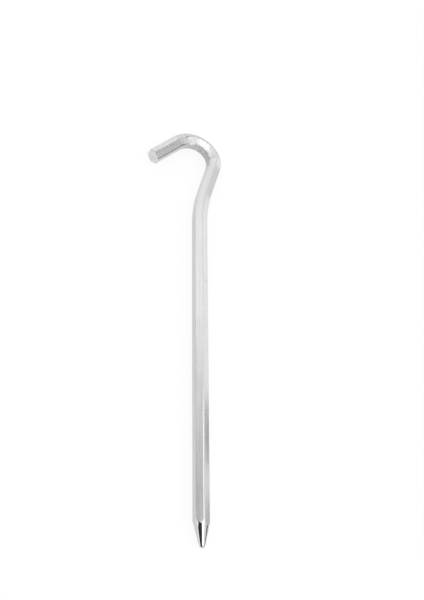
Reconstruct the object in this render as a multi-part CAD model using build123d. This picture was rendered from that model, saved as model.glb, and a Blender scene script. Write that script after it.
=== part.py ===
from build123d import *
import os
from math import sin, cos, tan, radians, pi

# Tent stake: one length of hexagonal aluminium bar, bent cold into an open hook
# at the top and turned to a round point at the bottom.
#
# The stake lies flat, as it does on a bench or a groundsheet: the plane of the
# hook is level, the shank runs along +Y towards the hook, and the hook opens
# towards -X. +Z is up. The origin is under the middle of the stake, at the
# height of the surface it lies on.

# ---- driving dimensions, millimetres and degrees ----
stake_length = 180.0          # from the point to the top of the bow
bar_across_corners = 6.0      # hexagonal bar, corner to corner
bar_edge_radius = 0.25        # the drawn bar's long edges are slightly rounded

offset_bend_radius = 59.0     # long easy bend that sets the hook off to one side
offset_bend_angle = 15.75
offset_run = 14.0             # straight piece between that bend and the bow

bow_radius = 8.8              # the bow that the guy line sits in, bar centreline
bow_angle = 130.6
bow_exit_radius = 12.0        # the bow opens a little where it meets the arm
bow_exit_angle = 21.1
arm_length = 14.5             # straight arm, cut off square

point_half_angle = 13.3       # the turned point
point_tip_radius = 0.8        # the point is blunted, so that it is safe to handle

end_edge_break = 0.12         # the sawn end's rim is just broken

bar_across_flats = bar_across_corners * cos(radians(30))
half_corners = bar_across_corners / 2
half_flats = bar_across_flats / 2

# ---- the bar's centreline, in the plane of the hook ----
# u is the distance along +Y from the point, v the distance along +X.
# A heading of 0 points along +Y, and a positive heading turns to the left.


def ahead(heading, distance):
    return (-distance * sin(radians(heading)), distance * cos(radians(heading)))


def turned(start, heading, radius, angle, side):
    """Where an arc ends that turns left (side 1) or right (side -1)."""
    cx = start[0] - side * radius * cos(radians(heading))
    cy = start[1] - side * radius * sin(radians(heading))
    end_heading = heading + side * angle
    mid_heading = heading + side * angle / 2
    mid = (cx + side * radius * cos(radians(mid_heading)), cy + side * radius * sin(radians(mid_heading)))
    end = (cx + side * radius * cos(radians(end_heading)), cy + side * radius * sin(radians(end_heading)))
    return mid, end, end_heading, (cx, cy)


def centreline(shank_length):
    """Corner points, arc midpoints and bow centre for a given straight shank."""
    p0 = (0.0, 0.0)
    p1 = (0.0, shank_length)
    m1, p2, h2, _ = turned(p1, 0.0, offset_bend_radius, offset_bend_angle, -1)
    step = ahead(h2, offset_run)
    p3 = (p2[0] + step[0], p2[1] + step[1])
    m3, p4, h4, bow_centre = turned(p3, h2, bow_radius, bow_angle, 1)
    m4, p5, h5, _ = turned(p4, h4, bow_exit_radius, bow_exit_angle, 1)
    step = ahead(h5, arm_length)
    p6 = (p5[0] + step[0], p5[1] + step[1])
    return dict(p0=p0, p1=p1, m1=m1, p2=p2, p3=p3, m3=m3, p4=p4, m4=m4, p5=p5, p6=p6,
                bow_centre=bow_centre, arm_heading=h5)


# The straight shank is whatever is left of the stake's length below the hook.
trial = centreline(100.0)
shank_length = 100.0 + stake_length - (trial["bow_centre"][1] + bow_radius + half_flats)
c = centreline(shank_length)

route = Wire([
    Edge.make_line(c["p0"], c["p1"]),
    Edge.make_three_point_arc(c["p1"], c["m1"], c["p2"]),
    Edge.make_line(c["p2"], c["p3"]),
    Edge.make_three_point_arc(c["p3"], c["m3"], c["p4"]),
    Edge.make_three_point_arc(c["p4"], c["m4"], c["p5"]),
    Edge.make_line(c["p5"], c["p6"]),
])

# ---- the bar's section: flats face the inside and the outside of the bow ----
section_plane = Plane(origin=(0, 0, 0), x_dir=(1, 0, 0), z_dir=(0, 1, 0))
with BuildSketch(section_plane) as section:
    RegularPolygon(radius=half_corners, side_count=6, rotation=30)
    fillet(section.vertices(), radius=bar_edge_radius)

bar = sweep(sections=section.sketch.faces()[0], path=route)

# ---- the turned point ----
# What the lathe leaves: a cone with a rounded tip, which cuts the six flats in scallops.
# The tip is at the start of the centreline, so the sharp cone's apex lies beyond it.
slope = tan(radians(point_half_angle))
ball_centre = point_tip_radius
apex = ball_centre - point_tip_radius / sin(radians(point_half_angle))
point_length = apex + half_corners / slope   # from the tip to where the cone meets the corners
tip_y = 0.0
touch_y = ball_centre - point_tip_radius * sin(radians(point_half_angle))
touch_r = point_tip_radius * cos(radians(point_half_angle))
half_way = (radians(90) - radians(point_half_angle)) / 2
arc_mid = (point_tip_radius * sin(half_way), ball_centre - point_tip_radius * cos(half_way))
print("point length", round(point_length, 3))

wide = half_corners + 1.5
cone_wide_y = apex + wide / slope
# The waste: everything outside the cone, from below the tip to where the cone clears the bar.
waste_profile = Wire([
    Edge.make_line((0, -2.0 + tip_y), (wide, -2.0 + tip_y)),
    Edge.make_line((wide, -2.0 + tip_y), (wide, cone_wide_y)),
    Edge.make_line((wide, cone_wide_y), (touch_r, touch_y)),
    Edge.make_three_point_arc((touch_r, touch_y), arc_mid, (0, tip_y)),
    Edge.make_line((0, tip_y), (0, -2.0 + tip_y)),
])
waste = revolve(Face(waste_profile), axis=Axis((0, 0, 0), (0, 1, 0)), revolution_arc=360)
stake = bar - waste

# ---- the sawn end of the arm ----
end_point = Vector(c["p6"][0], c["p6"][1], 0)
end_face = stake.faces().sort_by_distance(end_point)[0]
try:
    stake = chamfer(end_face.edges(), length=end_edge_break)
except Exception as problem:
    print("end left sharp:", problem)

# ---- put the origin under the middle of the stake ----
box = stake.bounding_box()
shift = Vector(-(box.min.X + box.max.X) / 2, -(box.min.Y + box.max.Y) / 2, -box.min.Z)
stake = Pos(shift.X, shift.Y, shift.Z) * stake
solids = stake.solids()
print("solids", len(solids), "valid", solids[0].is_valid)
stake = solids[0]
stake.label = "stake"

section_area = section.sketch.area
centre_length = (shank_length + radians(offset_bend_angle) * offset_bend_radius + offset_run
                 + radians(bow_angle) * bow_radius + radians(bow_exit_angle) * bow_exit_radius + arm_length)
print("straight shank", round(shank_length, 3), "bar length", round(centre_length, 2))
print("shift", round(shift.X, 4), round(shift.Y, 4), round(shift.Z, 4))
print("bow centre", round(c["bow_centre"][0] + shift.X, 3), round(c["bow_centre"][1] + shift.Y, 3))
print("arm end", round(c["p6"][0] + shift.X, 3), round(c["p6"][1] + shift.Y, 3), "heading", round(c["arm_heading"], 3))
print("box", stake.bounding_box())
print("volume", round(stake.volume, 2), "section times length", round(section_area * centre_length, 2),
      "mass at 2.70 g/cm3:", round(stake.volume * 2.70e-3, 2), "g")

os.makedirs("parts", exist_ok=True)
export_step(stake, "parts/stake.step")
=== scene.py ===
import bpy
import math
import numpy as np
from mathutils import Matrix, Vector


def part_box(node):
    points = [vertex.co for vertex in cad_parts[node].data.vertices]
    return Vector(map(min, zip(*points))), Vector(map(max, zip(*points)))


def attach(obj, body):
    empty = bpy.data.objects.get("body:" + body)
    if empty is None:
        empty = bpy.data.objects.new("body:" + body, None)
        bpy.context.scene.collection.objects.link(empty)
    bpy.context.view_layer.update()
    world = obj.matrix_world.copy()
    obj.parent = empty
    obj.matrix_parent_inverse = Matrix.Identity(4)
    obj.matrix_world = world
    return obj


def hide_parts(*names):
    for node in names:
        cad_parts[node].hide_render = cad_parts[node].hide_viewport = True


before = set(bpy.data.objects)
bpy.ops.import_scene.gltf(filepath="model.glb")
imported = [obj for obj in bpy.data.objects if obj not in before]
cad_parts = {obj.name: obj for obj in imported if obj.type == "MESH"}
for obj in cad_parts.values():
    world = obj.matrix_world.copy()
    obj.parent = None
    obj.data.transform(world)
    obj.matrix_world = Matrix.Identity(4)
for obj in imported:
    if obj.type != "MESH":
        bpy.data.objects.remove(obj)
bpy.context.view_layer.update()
MM = 0.001

# ---------------------------------------------------------------- camera
cam_data = bpy.data.cameras.new("camera")
cam_data.sensor_width = 36.0
cam_data.lens = 1435.832 / 600.0 * 36.0
cam_data.clip_start, cam_data.clip_end = 0.01, 100.0
cam = bpy.data.objects.new("camera", cam_data)
bpy.context.scene.collection.objects.link(cam)
right = Vector((0.91055838, -0.00925851, 0.41327681))
up = Vector((-0.23025883, 0.81893494, 0.52566761))
back = right.cross(up)
turn = Matrix((right, up, back)).transposed().to_4x4()
cam.matrix_world = Matrix.Translation(Vector((-0.17280, -0.29565, 0.40156))) @ turn
bpy.context.scene.camera = cam

# ---------------------------------------------------------------- the bar
# The same centreline and section as the CAD node, in millimetres, built finer
# and with what drawing, bending, turning and sawing do to a real bar.
EDGE_R = 0.42                   # rounding of the long edges
HALF = 2.9613 + EDGE_R * (1 / math.cos(math.radians(30)) - 1)   # half across the corners, before rounding
FLAT = HALF * math.cos(math.radians(30))                        # half across the flats
L1, R1, A1, L2 = 136.724, 59.0, math.radians(15.75), 14.0
R2, A2, R3, A3, L3 = 8.8, math.radians(130.6), 12.0, math.radians(21.1), 14.5
ALPHA, TIP_R = math.radians(13.3), 0.8
EASE = 6.0
S_BOW0 = L1 + R1 * A1 + L2
S_BOW1 = S_BOW0 + R2 * A2 + R3 * A3
S_END = S_BOW1 + L3
rng = np.random.default_rng(7)


def bend_table():
    """The centreline every 0.02 mm, its curvature eased at each change: a bend in a bar starts and stops gradually."""
    ds = 0.02
    s = np.arange(0.0, S_END + 5.0, ds)
    k = np.zeros_like(s)
    at = 0.0
    for length, curve in ((L1, 0.0), (R1 * A1, -1.0 / R1), (L2, 0.0), (R2 * A2, 1.0 / R2), (R3 * A3, 1.0 / R3), (L3, 0.0)):
        k[(s >= at) & (s < at + length)] = curve
        at += length
    w = np.hanning(int(EASE / ds) | 1)
    k = np.convolve(k, w / w.sum(), mode="same")
    h = np.concatenate([[0], np.cumsum(k[:-1] * ds)])
    x = np.concatenate([[0], np.cumsum(-np.sin(h[:-1] + k[:-1] * ds / 2) * ds)])
    y = np.concatenate([[0], np.cumsum(np.cos(h[:-1] + k[:-1] * ds / 2) * ds)])
    return s, x, y, h


TABLE = bend_table()


def centreline(s):
    """x, y and heading along the bar's centre, s millimetres from the tip; s is an array."""
    return tuple(np.interp(s, TABLE[0], q) for q in TABLE[1:])


def smooth(a, b, x):
    t = np.clip((x - a) / (b - a), 0.0, 1.0)
    return t * t * (3 - 2 * t)


def bell(x, at, width):
    return np.exp(-((x - at) / width) ** 2)


# Round the bar: six flats of FLAT_N points and six rounded corners of CORNER_N. Each point knows its flat or corner
# and its place on it, so the corner rounding can change along the bar.
FLAT_T = np.array([-1, -0.985, -0.95, -0.88, -0.78, -0.66, -0.53, -0.39, -0.24, -0.08,
                   0.08, 0.24, 0.39, 0.53, 0.66, 0.78, 0.88, 0.95, 0.985, 1])
CORNER_T = np.arange(1, 8) / 8.0
IS_FLAT, SIDE, PLACE = [], [], []
for k in range(6):
    for t in FLAT_T:
        IS_FLAT.append(True), SIDE.append(k), PLACE.append(t)
    for t in CORNER_T:
        IS_FLAT.append(False), SIDE.append(k), PLACE.append(t)
IS_FLAT, SIDE, PLACE = np.array(IS_FLAT), np.array(SIDE), np.array(PLACE)
NP = len(SIDE)


def ripple(n, along, around, seed):
    """n fixed gentle waves with wavelengths in the given ranges (mm), closing round the bar; about -1 to 1."""
    r = np.random.default_rng(seed)
    ls = r.uniform(*along, n) * r.choice([-1, 1], n)
    turns = np.maximum(0, np.round(18.0 / r.uniform(*around, n)))
    ph = r.uniform(0, 2 * math.pi, n)

    def f(s, v):
        out = 0.0
        for a, t, p in zip(ls, turns, ph):
            out = out + np.sin(2 * math.pi * (s / a + v * t / 18.0) + p)
        return out * 1.4 / math.sqrt(2 * n)
    return f


long_wave = ripple(14, (9, 40), (4, 18), 3)
peel = ripple(36, (0.9, 2.4), (0.9, 2.4), 5)
crease = ripple(22, (0.45, 1.1), (1.5, 9.0), 11)
edge_wander = ripple(16, (0.7, 5.0), (40, 50), 17)


def corner_radius(s, k):
    """Rounding of the corner after flat k: nearly even on the shank, uneven where the bar was worked."""
    worked = smooth(S_BOW0 - 3, S_BOW0 + 3, s)
    r = EDGE_R * (1 + (0.07 + 0.22 * worked) * edge_wander(s + 31.0 * k, 0 * s))
    if k == 2:          # the inner top corner, flattened in two places by the bending former
        r = r + 0.55 * bell(s, 184.3, 0.9) + 0.45 * bell(s, 190.0, 1.4)
    if k == 1:          # the outer top corner
        r = r + 0.45 * bell(s, 187.8, 0.6) + 0.36 * (1 - smooth(50, 58, s))
    return r


# small knocks: s, round-the-bar place (flat k is centred on 3k), size along, size round, depth
KNOCKS = [(108.3, 3.1, 0.22, 0.20, -0.030), (106.9, 3.6, 0.15, 0.15, -0.015), (64.0, 6.9, 0.20, 0.16, -0.014),
          (27.5, 5.5, 0.16, 0.30, -0.010), (136.0, 4.6, 0.30, 0.12, -0.014), (186.0, 5.7, 1.1, 0.40, -0.040),
          (187.9, 4.9, 0.5, 0.30, -0.040), (191.3, 7.15, 1.6, 0.30, -0.045), (184.3, 6.9, 0.7, 0.35, -0.035),
          (188.6, 6.3, 0.5, 0.8, 0.012), (182.6, 8.6, 0.6, 0.5, -0.020), (56.2, 4.45, 0.25, 0.10, 0.012),
          (88.0, 9.2, 0.30, 0.20, -0.015), (49.0, 12.4, 0.25, 0.25, -0.020), (121.0, 15.2, 0.2, 0.3, -0.018),
          (152.0, 0.7, 0.3, 0.2, -0.020), (70.0, 0.2, 0.2, 0.3, -0.015), (199.0, 16.5, 0.3, 0.3, -0.02)]


def section(s):
    """The section's points (n out from the bow, b up), for an array of stations: arrays (stations, NP)."""
    s = s[:, None] if s.ndim == 1 else s
    n, b, nn, nb = (np.zeros((s.shape[0], NP)) for _ in range(4))
    v = np.zeros((s.shape[0], NP))
    col = np.broadcast_to(s, (s.shape[0], NP))
    for k in range(6):
        a = math.radians(60 * k)
        ux, uy = math.cos(a), math.sin(a)
        m = IS_FLAT & (SIDE == k)
        st = col[:, m]
        lo = FLAT / math.sqrt(3) - corner_radius(st, (k - 1) % 6) * math.tan(math.radians(30))
        hi = FLAT / math.sqrt(3) - corner_radius(st, k) * math.tan(math.radians(30))
        t = PLACE[m]
        w = np.where(t < 0, t * lo, t * hi)
        n[:, m], b[:, m] = FLAT * ux - w * uy, FLAT * uy + w * ux
        nn[:, m], nb[:, m], v[:, m] = ux, uy, 3 * k + w
        m = ~IS_FLAT & (SIDE == k)
        st = col[:, m]
        r = corner_radius(st, k)
        c = FLAT - r
        ca = a + math.radians(30)
        reach = c / math.cos(math.radians(30))
        ang = a + math.radians(60) * PLACE[m]
        n[:, m], b[:, m] = reach * math.cos(ca) + r * np.cos(ang), reach * math.sin(ca) + r * np.sin(ang)
        nn[:, m], nb[:, m] = np.cos(ang), np.sin(ang)
        v[:, m] = 3 * k + 1.5 + r * np.tan(ang - ca)
    # drawing and bending marks, along the outward direction
    worked = smooth(S_BOW0 + 6, S_BOW0 + 13, s) * (1 - 0.45 * smooth(S_BOW1 - 2, S_BOW1 + 4, s))
    bow = smooth(S_BOW0 + 1, S_BOW0 + 6, s) * (1 - smooth(S_BOW1 - 6, S_BOW1 + 1, s))
    settle = smooth(10.5, 16.0, s) * (1 - smooth(S_END - 1.2, S_END - 0.2, s))
    inside = np.clip(-nn, 0, 1)
    d = 0.004 * long_wave(s, v) + 0.011 * worked * peel(s, v) + 0.013 * bow * inside ** 4 * crease(s, v)
    for s0, v0, ws, wv, depth in KNOCKS:
        d = d + depth * np.exp(-((s - s0) / ws) ** 2 - ((v - v0) / wv) ** 2)
    d = d * settle
    n, b = n + d * nn, b + d * nb
    # the outside of the bow is drawn narrower, the inside squeezed wider; the bar stays as thick
    b = b + np.sign(b) * bow * (0.11 * np.clip(-n / FLAT, 0, 1) ** 2 * np.clip(np.abs(b) / 1.4, 0, 1) - 0.05 * np.clip(n / FLAT, 0, 1) * np.abs(b) / 3)
    return n, b, v


def skin(s):
    """Surface points for stations s: (stations, NP) or one row of stations; returns xyz and the straightened bar's n, b."""
    s2 = s if s.ndim == 2 else np.repeat(s[:, None], NP, 1)
    n, b, v = section(s2)
    x, y, h = centreline(s2)
    return np.stack([x + n * np.cos(h), y + n * np.sin(h), b], -1), n, b, v


N0, B0, V0 = (q[0] for q in section(np.full((1, NP), 10.2)))
APEX = TIP_R - TIP_R / math.sin(ALPHA)
RUN_X, RUN_Z, RUN_FROM = 0.47, 0.46, 11.0       # assumed: the turning's axis drifts a little toward the tip


def run_out(y):
    t = (RUN_FROM - y) / RUN_FROM
    return RUN_X * t - 0.121 * np.clip(t, 0, 1) ** 3, RUN_Z * t - 0.059 * np.clip(t, 0, 1) ** 3


# where the cone meets each line of the bar
meet = np.full(NP, 9.0)
for _ in range(60):
    ox, oz = run_out(meet)
    meet = 0.5 * meet + 0.5 * (APEX + np.hypot(N0 - ox, B0 - oz) / math.tan(ALPHA))
ox, oz = run_out(meet)
turn_angle = np.arctan2(B0 - oz, N0 - ox)       # each line's place round the turning axis


touch = TIP_R - TIP_R * math.sin(ALPHA)


def cone(y, r=None):
    """Points of the turned end. Its fuller side toward the tip and its one narrow flat are a guess that gives the
    cone's dark streak its place as seen from the camera."""
    ox, oz = run_out(y)
    t = np.clip((y - touch) / (meet - touch), 0, 1)
    if r is None:
        r = (y - APEX) * math.tan(ALPHA) + 0.08 * t * (1 - t)
    deg = np.degrees(turn_angle) % 360
    u = 1 - t
    wide = 9.0 + 10.26 * u - 3.48 * u * u
    r = r * (1 + 0.531 * u ** 1.54 * bell(deg, 185.8, 44) - (0.4 + 0.054 * u) * np.radians(wide) ** 2 * bell(deg, 124 + 24.8 * u - 3.3 * u * u, wide))
    return np.stack([ox + r * np.cos(turn_angle), y + 0 * r, oz + r * np.sin(turn_angle)], -1)


rows, marks, mats = [], [], []      # one entry per ring: points, straightened coordinates, material of the band after it


def add(points, straight, mat):
    rows.append(points)
    marks.append(straight)
    mats.append(mat)


def flat_row(y):
    p, n, b, v = skin(y[None, :])
    return p[0], np.stack([n[0], b[0], y], -1)


# the tip's round, then the cone, then the softened line where the cone runs into the flats
for i in range(1, 10):
    a = (math.pi / 2 - ALPHA) * i / 9.0
    y = np.full(NP, TIP_R - TIP_R * math.cos(a))
    p = cone(y, np.full(NP, TIP_R * math.sin(a)))
    add(p, p[:, [0, 2, 1]], 1)
SOFT = 0.30
for t in np.linspace(0, 1, 15)[1:-1]:
    y = touch + (meet - SOFT - touch) * t
    p = cone(y)
    add(p, p[:, [0, 2, 1]], 1)
low_p, high_p, mid_p = cone(meet - SOFT), flat_row(meet + SOFT)[0], flat_row(meet)[0]
for t in (0.0, 0.2, 0.4, 0.6, 0.8, 1.0):
    p = (1 - t) ** 2 * low_p + 2 * t * (1 - t) * mid_p + t * t * high_p
    add(p, p[:, [0, 2, 1]], 1 if t < 0.45 else 0)
for t in (0.12, 0.3, 0.5, 0.75):
    y = meet + SOFT + (12.4 - meet - SOFT) * t
    p, m = flat_row(y)
    add(p, m, 0)
stations = [12.4]
for end, step in ((105.0, 1.2), (110.0, 0.16), (L1 - 4, 1.0), (S_BOW0 - 2, 0.6), (S_BOW1 + 2, 0.15), (S_END - 1.5, 0.28), (S_END - 0.50, 0.1)):
    count = max(1, round((end - stations[-1]) / step))
    stations += list(np.linspace(stations[-1], end, count + 1)[1:])
P, Nn, Bb, Vv = skin(np.array(stations))
for i, s in enumerate(stations):
    add(P[i], np.stack([Nn[i], Bb[i], np.full(NP, s)], -1), 0)

# the sawn end: taken as cut about 6 degrees out of square, its rim broken except for a burr on one side
_, ne, be, ve = skin(np.array([S_END - 0.50]))
xe, ye, he = (float(q[0]) for q in centreline(np.array([S_END])))
out_n, out_t = np.array([math.cos(he), math.sin(he), 0]), np.array([-math.sin(he), math.cos(he), 0])


def end_ring(scale, depth):
    """The end section shrunk about its middle, depth millimetres short of the bar's full length."""
    n, b = ne[0] * scale, be[0] * scale
    p = np.array([xe, ye, 0.0]) + n[:, None] * out_n - np.broadcast_to(depth, n.shape)[:, None] * out_t
    p[:, 2] = b
    return p, np.stack([n, b, S_END - np.broadcast_to(depth, n.shape)], -1)


tilt = -0.10 + 0.22 * (ne[0] / 2.56) - 0.20 * (be[0] / 2.96)
rag = edge_wander(ve[0] * 1.0, 0 * ve[0])
burr = bell(ve[0], 2.2, 1.3) + 0.5 * bell(ve[0], 14.5, 1.0)
for scale, depth, mat in ((1.0, tilt + 0.11 - 0.11 * burr + 0.012 * rag, 2), (0.985 + 0.012 * burr, tilt + 0.035 - 0.045 * burr + 0.008 * rag, 2),
                          (0.962, tilt + 0.005 + 0.02 * burr, 2), (0.94, tilt, 2), (0.8, tilt, 2), (0.6, tilt, 2), (0.4, tilt, 2), (0.2, tilt, 2)):
    p, m = end_ring(scale, depth)
    add(p, m, mat)
p, m = end_ring(0.0, -0.10)
end_mid, end_mark = p[0], m[0]

verts = np.concatenate(rows + [np.array([[run_out(0.0)[0], 0.0, run_out(0.0)[1]], end_mid])])
straight = np.concatenate(marks + [np.array([[run_out(0.0)[0], run_out(0.0)[1], 0.0], end_mark])])
tip_i, mid_i = len(verts) - 2, len(verts) - 1
around = np.arange(NP)
nxt = (around + 1) % NP
vv = np.concatenate([V0, [V0[0] + 18.0]])
faces, face_mat, face_uv = [], [], []
for i in range(len(rows) - 1):
    a0, b0 = i * NP, (i + 1) * NP
    for j in range(NP):
        k = (j + 1) % NP
        faces.append((a0 + j, b0 + j, b0 + k, a0 + k))
        face_mat.append(mats[i])
        face_uv += [(vv[j], straight[a0 + j, 2]), (vv[j], straight[b0 + j, 2]), (vv[j + 1], straight[b0 + k, 2]), (vv[j + 1], straight[a0 + k, 2])]
last = (len(rows) - 1) * NP
for j in range(NP):
    k = (j + 1) % NP
    faces.append((tip_i, j, k))
    face_mat.append(1)
    face_uv += [(vv[j], 0.0), (vv[j], straight[j, 2]), (vv[j + 1], straight[k, 2])]
    faces.append((last + j, mid_i, last + k))
    face_mat.append(2)
    face_uv += [(vv[j], S_END), (vv[j], S_END + 1), (vv[j + 1], S_END)]

# put it where the CAD node is: the tip, the bow's outer edge and the underside set the place
low, high = np.array(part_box("stake")[0]) / MM, np.array(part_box("stake")[1]) / MM
verts = verts + np.array([6.328, low[1], (low[2] + high[2]) / 2])
print("mesh box", verts.min(0), verts.max(0), "cad box", low, high, "faces", len(faces))
verts = np.clip(verts, low, high)

mesh = bpy.data.meshes.new("stake_bar")
mesh.from_pydata([tuple(p) for p in (verts * MM)], [], faces)
mesh.polygons.foreach_set("material_index", face_mat)
mesh.polygons.foreach_set("use_smooth", [True] * len(faces))
layer = mesh.uv_layers.new(name="Drawn")
layer.data.foreach_set("uv", (np.array(face_uv, np.float32) * 0.01).ravel())
mark = mesh.attributes.new("straight", "FLOAT_VECTOR", "POINT")
mark.data.foreach_set("vector", straight.astype(np.float32).ravel())
sharp = mesh.attributes.new("sharp_edge", "BOOLEAN", "EDGE")
n_rows = len(rows)
crisp = set()
for r in (n_rows - 8, n_rows - 7):
    crisp |= {(r * NP + j, r * NP + (j + 1) % NP) for j in range(NP)}
crisp = {tuple(sorted(e)) for e in crisp}
sharp.data.foreach_set("value", [tuple(sorted(e.vertices)) in crisp for e in mesh.edges])
mesh.update()
bar = bpy.data.objects.new("stake_bar", mesh)
bpy.context.scene.collection.objects.link(bar)
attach(bar, "root")
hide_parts("stake")

# ---------------------------------------------------------------- materials
def new_material(name):
    m = bpy.data.materials.new(name)
    m.use_nodes = True
    nt = m.node_tree
    nt.nodes.clear()
    out = nt.nodes.new("ShaderNodeOutputMaterial")
    sh = nt.nodes.new("ShaderNodeBsdfPrincipled")
    nt.links.new(sh.outputs["BSDF"], out.inputs["Surface"])
    return m, nt, sh


def node(nt, kind, values=(), **settings):
    """A node with its settings made and its inputs set or linked: (input, number or output socket)."""
    n = nt.nodes.new("ShaderNode" + kind)
    for k, v in settings.items():
        setattr(n, k, v)
    for key, v in values:
        s = n.inputs[key]
        if isinstance(v, bpy.types.NodeSocket):
            nt.links.new(v, s)
        else:
            s.default_value = v
    return n


def maths(nt, op, a, b=None, c=None):
    vals = [(i, v) for i, v in enumerate((a, b, c)) if v is not None]
    return node(nt, "Math", vals, operation=op).outputs[0]


def ramp(nt, v, a, b, lo=0.0, hi=1.0):
    """Smoothly from lo where v is a to hi where v is b."""
    return node(nt, "MapRange", [("Value", v), ("From Min", a), ("From Max", b), ("To Min", lo), ("To Max", hi)],
                interpolation_type="SMOOTHSTEP", clamp=True).outputs[0]


def straight_coords(nt, n, b, s):
    """The straightened bar's coordinates in millimetres, scaled: across, up, along."""
    at = node(nt, "Attribute", attribute_name="straight", attribute_type="GEOMETRY")
    return node(nt, "VectorMath", [(0, at.outputs["Vector"]), (1, (n, b, s))], operation="MULTIPLY").outputs["Vector"]


def noise(nt, vec, scale, detail=2.0, rough=0.5, distortion=0.0):
    return node(nt, "TexNoise", [("Vector", vec), ("Scale", scale), ("Detail", detail), ("Roughness", rough), ("Distortion", distortion)]).outputs["Fac"]


def grey(nt, v):
    return node(nt, "CombineColor", [(0, v), (1, v), (2, maths(nt, "MULTIPLY", v, 1.006))]).outputs[0]


# spots of painted highlight and painted shade on the bar's dents, corner lines and sawn rim, in part rubbed marks of
# the worked bar, brighter or duller than the metal round them: s, round-the-bar place, half length, half width, slant,
# change
RUBS_AND_PAINTED_LIGHT = [(185.9, 5.25, 1.6, 0.30, 0.25, 0.15), (184.9, 7.72, 1.7, 0.55, 0.0, 0.55),
        (191.6, 6.85, 1.9, 0.22, 0.0, 0.26), (187.8, 4.85, 0.8, 0.26, 0.12, -0.42),
        (189.6, 7.75, 1.5, 0.42, -0.05, -0.26), (199.5, 7.72, 8.5, 0.50, 0.0, -0.38),
        (200.0, 5.25, 6.5, 0.22, 0.0, -0.15), (206.0, 2.8, 0.35, 3.2, 0.0, -0.40),
        (108.3, 3.1, 0.45, 0.30, 0.0, -0.30)]


def drawn_metal():
    """Bar drawn through a die: fine lines along it, slight streaks, a mottle where it was bent, painted shade on the
    bow's inner side, which is also rougher, and spots of painted highlight and painted shade.
    """
    m, nt, sh = new_material("drawn_aluminium")
    sh.inputs["Metallic"].default_value = 1.0
    sh.inputs["Anisotropic"].default_value = 0.97
    tan = node(nt, "Tangent", direction_type="UV_MAP", uv_map="Drawn")
    nt.links.new(tan.outputs["Tangent"], sh.inputs["Tangent"])
    lines = noise(nt, straight_coords(nt, 1, 1, 0.012), 2.6, 4.0, 0.62)        # streaks a few tenths wide, tens of mm long
    fine = noise(nt, straight_coords(nt, 1, 1, 0.03), 14.0, 3.0, 0.6)
    cloud = noise(nt, straight_coords(nt, 1, 1, 0.22), 0.55, 3.0, 0.55)
    grain = noise(nt, straight_coords(nt, 1, 1, 1), 2.4, 3.0, 0.6)
    at = node(nt, "Attribute", attribute_name="straight", attribute_type="GEOMETRY")
    pos = node(nt, "SeparateXYZ", [(0, at.outputs["Vector"])])
    worked = ramp(nt, pos.outputs[2], S_BOW0 + 1, S_BOW0 + 8)
    inner = ramp(nt, pos.outputs[0], -1.4, -2.5)
    inner = maths(nt, "MULTIPLY", inner, maths(nt, "MULTIPLY", ramp(nt, pos.outputs[2], S_BOW0 - 6, S_BOW0 + 2), ramp(nt, pos.outputs[2], S_BOW1 - 1, S_BOW1 - 9)))
    v = ramp(nt, lines, 0.32, 0.68, 0.575, 0.627)
    v = maths(nt, "MULTIPLY", v, ramp(nt, cloud, 0.3, 0.7, 0.975, 1.02))
    blotch = noise(nt, straight_coords(nt, 1, 1, 0.8), 1.15, 2.0, 0.55)
    v = maths(nt, "MULTIPLY", v, maths(nt, "ADD", 1.0, maths(nt, "MULTIPLY", worked, ramp(nt, grain, 0.3, 0.7, -0.12, 0.12))))
    v = maths(nt, "MULTIPLY", v, maths(nt, "ADD", 1.0, maths(nt, "MULTIPLY", worked, ramp(nt, blotch, 0.34, 0.66, -0.06, 0.06))))
    # painted shade: the inner side of the bow is made darker, in a mottle, standing in for the shade inside the hook
    shade_mottle = noise(nt, straight_coords(nt, 0.4, 0.4, 1), 1.5, 2.0, 0.55)
    inner_shade = maths(nt, "ADD", ramp(nt, grain, 0.35, 0.62, 0.22, 0.06), ramp(nt, shade_mottle, 0.34, 0.64, 0.14, -0.04))
    v = maths(nt, "MULTIPLY", v, maths(nt, "SUBTRACT", 1.0, maths(nt, "MULTIPLY", inner, inner_shade)))
    around = maths(nt, "MULTIPLY", node(nt, "SeparateXYZ", [(0, node(nt, "UVMap", uv_map="Drawn").outputs[0])]).outputs[0], 100.0)
    along = pos.outputs[2]
    # painted highlight and painted shade: each spot lightens or darkens the base colour where a dent, corner or the
    # rim catches or loses the light
    for s0, v0, ws, wv, slant, gain in RUBS_AND_PAINTED_LIGHT:
        across = maths(nt, "SUBTRACT", around, maths(nt, "MULTIPLY_ADD", maths(nt, "SUBTRACT", along, s0), slant, v0))
        d2 = maths(nt, "ADD", maths(nt, "POWER", maths(nt, "DIVIDE", maths(nt, "ABSOLUTE", maths(nt, "SUBTRACT", along, s0)), ws), 4.0),
                   maths(nt, "POWER", maths(nt, "DIVIDE", across, wv), 2.0))
        d2 = maths(nt, "ADD", d2, maths(nt, "MULTIPLY", maths(nt, "SUBTRACT", grain, 0.5), 3.2))
        v = maths(nt, "MULTIPLY", v, ramp(nt, d2, 0.0, 1.6, 1.0 + gain, 1.0))
    nt.links.new(grey(nt, v), sh.inputs["Base Color"])
    r = ramp(nt, lines, 0.3, 0.7, 0.150, 0.195)
    r = maths(nt, "ADD", r, maths(nt, "MULTIPLY", inner, 0.07))
    nt.links.new(r, sh.inputs["Roughness"])
    h = maths(nt, "ADD", maths(nt, "MULTIPLY", fine, 0.6), maths(nt, "MULTIPLY", maths(nt, "MULTIPLY", grain, 0.7), worked))
    bump = node(nt, "Bump", [("Strength", 0.35), ("Distance", 0.00001), ("Height", h)])
    nt.links.new(bump.outputs["Normal"], sh.inputs["Normal"])
    return m


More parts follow.
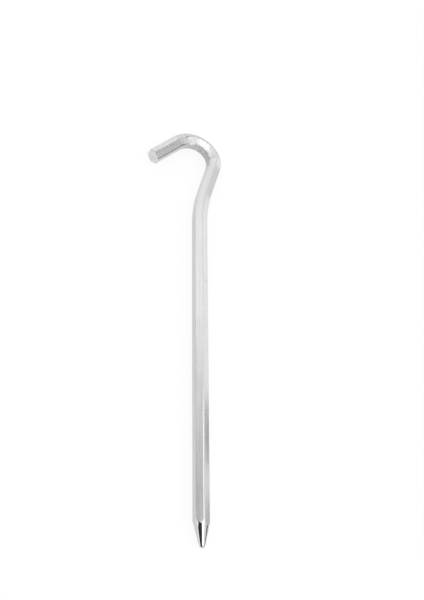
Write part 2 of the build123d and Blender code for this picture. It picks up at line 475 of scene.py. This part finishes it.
def turned_metal():
    """The turned cone: bright, with faint rings round it from the tool."""
    m, nt, sh = new_material("turned_aluminium")
    sh.inputs["Metallic"].default_value = 1.0
    rings = noise(nt, straight_coords(nt, 0.04, 0.04, 1), 9.0, 3.0, 0.6)
    spots = noise(nt, straight_coords(nt, 1, 1, 1), 1.6, 2.0, 0.5)
    v = maths(nt, "MULTIPLY", ramp(nt, rings, 0.3, 0.7, 0.60, 0.64), ramp(nt, spots, 0.3, 0.7, 0.98, 1.02))
    nt.links.new(grey(nt, v), sh.inputs["Base Color"])
    nt.links.new(ramp(nt, rings, 0.3, 0.7, 0.065, 0.10), sh.inputs["Roughness"])
    bump = node(nt, "Bump", [("Strength", 0.25), ("Distance", 0.00001), ("Height", rings)])
    nt.links.new(bump.outputs["Normal"], sh.inputs["Normal"])
    return m


def sawn_metal():
    """The sawn end: duller, with close straight saw lines."""
    m, nt, sh = new_material("sawn_aluminium")
    sh.inputs["Metallic"].default_value = 1.0
    saw = noise(nt, straight_coords(nt, 1.0, 0.12, 0), 6.0, 3.0, 0.65)
    patch = noise(nt, straight_coords(nt, 1, 1, 1), 0.9, 2.0, 0.5)
    v = maths(nt, "MULTIPLY", ramp(nt, saw, 0.3, 0.7, 0.66, 0.73), ramp(nt, patch, 0.3, 0.7, 0.97, 1.03))
    nt.links.new(grey(nt, v), sh.inputs["Base Color"])
    nt.links.new(ramp(nt, saw, 0.3, 0.7, 0.38, 0.5), sh.inputs["Roughness"])
    bump = node(nt, "Bump", [("Strength", 0.5), ("Distance", 0.00002), ("Height", saw)])
    nt.links.new(bump.outputs["Normal"], sh.inputs["Normal"])
    return m


for make in (drawn_metal, turned_metal, sawn_metal):
    mesh.materials.append(make())

# ---------------------------------------------------------------- floor and light
def stage_mesh(name, pts, quads):
    me = bpy.data.meshes.new(name)
    me.from_pydata(pts, [], quads)
    ob = bpy.data.objects.new(name, me)
    bpy.context.scene.collection.objects.link(ob)
    return ob


# a pale light table: part of its light comes up through it, so shadows on it stay faint
floor = stage_mesh("floor", [(-25, -25, 0), (25, -25, 0), (25, 25, 0), (-25, 25, 0)], [(0, 1, 2, 3)])
fm, fnt, fsh = new_material("floor_white")
fsh.inputs["Base Color"].default_value = (0.15, 0.15, 0.15, 1)
fsh.inputs["Roughness"].default_value = 0.9
fsh.inputs["Specular IOR Level"].default_value = 0.0
fsh.inputs["Emission Color"].default_value = (1, 1, 1, 1)
fsh.inputs["Emission Strength"].default_value = 0.86
floor.data.materials.append(fm)

world = bpy.data.worlds.new("studio")
bpy.context.scene.world = world
world.use_nodes = True
bg = world.node_tree.nodes["Background"]
bg.inputs["Color"].default_value = (1, 1, 1, 1)
bg.inputs["Strength"].default_value = 1.0

# the light tent round the table, as the metal sees it: white walls, an overhead box, a black card, and grey gaps
SKY_R = 20.0
RINGS, SEGS = 24, 48
pts, quads = [], []
for i in range(RINGS + 1):
    e = math.radians(-2 + 92 * i / RINGS)
    for j in range(SEGS):
        a = 2 * math.pi * j / SEGS
        pts.append((SKY_R * math.cos(e) * math.sin(a), SKY_R * math.cos(e) * math.cos(a), SKY_R * math.sin(e)))
for i in range(RINGS):
    for j in range(SEGS):
        k = (j + 1) % SEGS
        quads.append((i * SEGS + j, i * SEGS + k, (i + 1) * SEGS + k, (i + 1) * SEGS + j))
tent = stage_mesh("tent", pts, quads)
tent.visible_camera = False
tent.visible_diffuse = False
tent.visible_shadow = False
tent.visible_transmission = False

BASE = 1.34
# value, then where: a direction's azimuth (degrees, 0 is +Y and 90 is +X), elevation, or its own x, y, z, each as
# (from, to, softness of each edge)
PATCHES = [
    (1.15, dict(az=(54, 125, 3, 10), el=(9, 50, 6, 12))),
    (0.92, dict(az=(66, 90, 4, 4), el=(48, 65, 6, 8))),
    (0.79, dict(az=(68, 118, 8, 8), el=(8, 37, 4, 8))),
    (0.06, dict(az=(72, 81, 8, 3), el=(10, 29, 4, 5))),
    (0.20, dict(az=(84, 112, 3, 6), el=(-2, 29, 2, 5))),
    (0.43, dict(az=(62.85, 80, 0.9, 5), el=(-5, 10, 2, 4))),
    (0.33, dict(az=(63.25, 80, 0.5, 5), el=(-5, 10, 2, 4))),
    (0.05, dict(az=(59.2, 61.5, 0.5, 1.0), el=(-5, 9, 1, 2))),
    (0.50, dict(az=(14, 52, 6, 6), el=(46.5, 66.5, 1.5, 3))),
    (0.36, dict(az=(-4, 26, 4, 2), el=(30, 50.7, 4, 2))),
    (1.22, dict(az=(-35, -14, 5, 5), el=(22, 38, 4, 3))),
    (0.62, dict(az=(-64, -43, 6, 6), el=(3, 34, 4, 4))),
    (None, dict(x=(-0.95, -0.33, 0.1, 0.1), y=(0.425, 0.62, 0.02, 0.05), q=(0.7, 0.985, 0.1, 0.02))),
    (1.10, dict(az=(126, 185, 6, 8), el=(-2, 40, 2, 8))),
    (0.78, dict(az=(-45, 42, 8, 8), el=(-2, 4, 1, 2))),
    (1.05, dict(az=(-80, -44, 4, 4), el=(47.5, 63.5, 2, 3))),
    (0.08, dict(az=(-84, -57, 4, 4), el=(22, 44, 4, 4))),
    (0.05, dict(az=(-172, -79, 6, 3), el=(27.5, 64, 5, 3))),
    (0.05, dict(az=(-172, -105, 6, 8), el=(5, 60, 5, 3))),
]
# the long soft-edged panel the shank's top flat sees: its brightness against a direction's y
PANEL = [(0.44, 0.20), (0.453, 0.26), (0.461, 0.36), (0.467, 0.50), (0.484, 0.68), (0.495, 0.82), (0.513, 1.05), (0.52, 1.12),
         (0.53, 1.24), (0.545, 1.43), (0.56, 1.47), (0.58, 1.37)]
BOX = (2.1, dict(x=(-0.362, 0.15, 0.02, 0.30), y=(-0.35, 0.515, 0.05, 0.008), z=(0.3, 2, 0.1, 0.1)))    # the box overhead

tm = bpy.data.materials.new("tent_walls")
tm.use_nodes = True
tnt = tm.node_tree
tnt.nodes.clear()
where = node(tnt, "TexCoord").outputs["Object"]
unit = node(tnt, "VectorMath", [(0, where)], operation="NORMALIZE").outputs["Vector"]
xyz = node(tnt, "SeparateXYZ", [(0, unit)])
dx_, dy_, dz_ = xyz.outputs
az = maths(tnt, "MULTIPLY", maths(tnt, "ARCTAN2", dx_, dy_), 180 / math.pi)
el = maths(tnt, "MULTIPLY", maths(tnt, "ARCSINE", dz_), 180 / math.pi)


def band(v, a, b, sa, sb):
    return maths(tnt, "MULTIPLY", ramp(tnt, v, a - sa / 2, a + sa / 2), ramp(tnt, v, b - sb / 2, b + sb / 2, 1.0, 0.0))


def paint(level, value, mask):
    return node(tnt, "Mix", [(0, mask), (2, level), (3, value)], data_type="FLOAT").outputs[0]


COORDS = dict(az=az, el=el, x=dx_, y=dy_, z=dz_, q=maths(tnt, "MULTIPLY_ADD", dy_, 0.476, dz_))
low_y, high_y = PANEL[0][0], PANEL[-1][0]
curve = node(tnt, "ValToRGB", [(0, ramp(tnt, dy_, low_y, high_y))])
curve.inputs[0].links[0].from_node.interpolation_type = "LINEAR"
for i, (y, value) in enumerate(PANEL):
    at = (y - low_y) / (high_y - low_y)
    stop = curve.color_ramp.elements[0 if i == 0 else 1] if i in (0, len(PANEL) - 1) else curve.color_ramp.elements.new(at)
    stop.position = at
for stop, (y, value) in zip(sorted(curve.color_ramp.elements, key=lambda e: e.position), PANEL):
    stop.color = (value / 2, value / 2, value / 2, 1)
panel = maths(tnt, "MULTIPLY", node(tnt, "SeparateXYZ", [(0, curve.outputs[0])]).outputs[0], 2.0)
level = maths(tnt, "ADD", 0.0, BASE)
for value, where in PATCHES + [BOX]:
    mask = None
    for name, (lo, hi, soft_lo, soft_hi) in where.items():
        m = band(COORDS[name], lo, hi, soft_lo, soft_hi)
        mask = m if mask is None else maths(tnt, "MULTIPLY", mask, m)
    level = paint(level, panel if value is None else value, mask)
em = node(tnt, "Emission", [("Color", (1, 1, 1, 1)), ("Strength", level)])
tout = node(tnt, "OutputMaterial", [("Surface", em.outputs[0])])
tent.data.materials.append(tm)


scene = bpy.context.scene
scene.view_settings.view_transform = "Standard"
scene.view_settings.look = "None"
